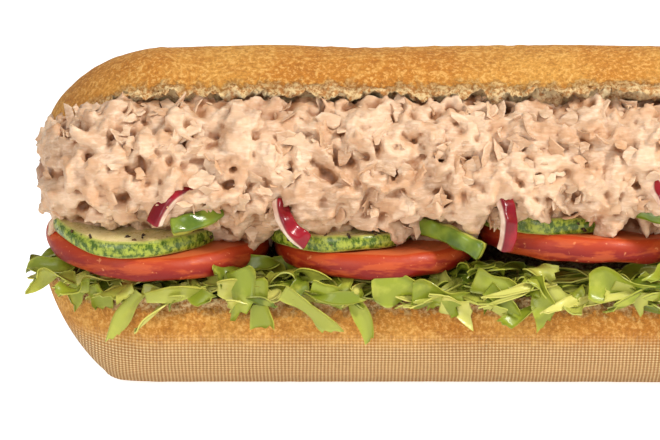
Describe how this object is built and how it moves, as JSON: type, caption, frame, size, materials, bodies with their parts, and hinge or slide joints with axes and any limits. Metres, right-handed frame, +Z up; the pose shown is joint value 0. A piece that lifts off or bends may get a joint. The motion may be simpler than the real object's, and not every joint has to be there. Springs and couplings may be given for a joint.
{
  "type": "submarine sandwich",
  "caption": "Hinged bread roll opened at the front over shredded lettuce, tomato, cucumber, green pepper, red onion and a heap of tuna salad.",
  "frame": {"origin": "middle of the bounding box in plan, on the flat underside of the roll", "axes": "+X along the roll, +Z up, the open mouth faces -Y and the hinge is at +Y"},
  "size_m": [0.3, 0.0862, 0.0952],
  "materials": {
    "bread": "baked golden-brown crust over a pale crumb, dry and soft",
    "lettuce": "crisp, thin and slightly shiny",
    "tuna": "moist flakes bound with dressing",
    "tomato": "wet cut flesh with a shiny skin",
    "cucumber": "wet pale flesh with a mottled green rind",
    "green_pepper": "shiny dark green skin over paler flesh",
    "red_onion": "shiny red-purple skin over white flesh"
  },
  "bodies": {
    "root": {"bread_roll": "bread", "lettuce_shreds": "lettuce", "tuna_salad": "tuna", "tomato_slice_1": "tomato", "tomato_slice_2": "tomato", "tomato_slice_3": "tomato", "tomato_slice_4": "tomato", "tomato_slice_5": "tomato", "cucumber_slice_1": "cucumber", "cucumber_slice_2": "cucumber", "cucumber_slice_3": "cucumber", "cucumber_slice_4": "cucumber", "cucumber_slice_5": "cucumber", "green_pepper_strip_1": "green_pepper", "green_pepper_strip_2": "green_pepper", "green_pepper_strip_3": "green_pepper", "green_pepper_strip_4": "green_pepper", "green_pepper_strip_5": "green_pepper", "red_onion_strip_1": "red_onion", "red_onion_strip_2": "red_onion", "red_onion_strip_3": "red_onion", "red_onion_strip_4": "red_onion", "red_onion_strip_5": "red_onion", "red_onion_strip_6": "red_onion"}
  },
  "joints": []
}
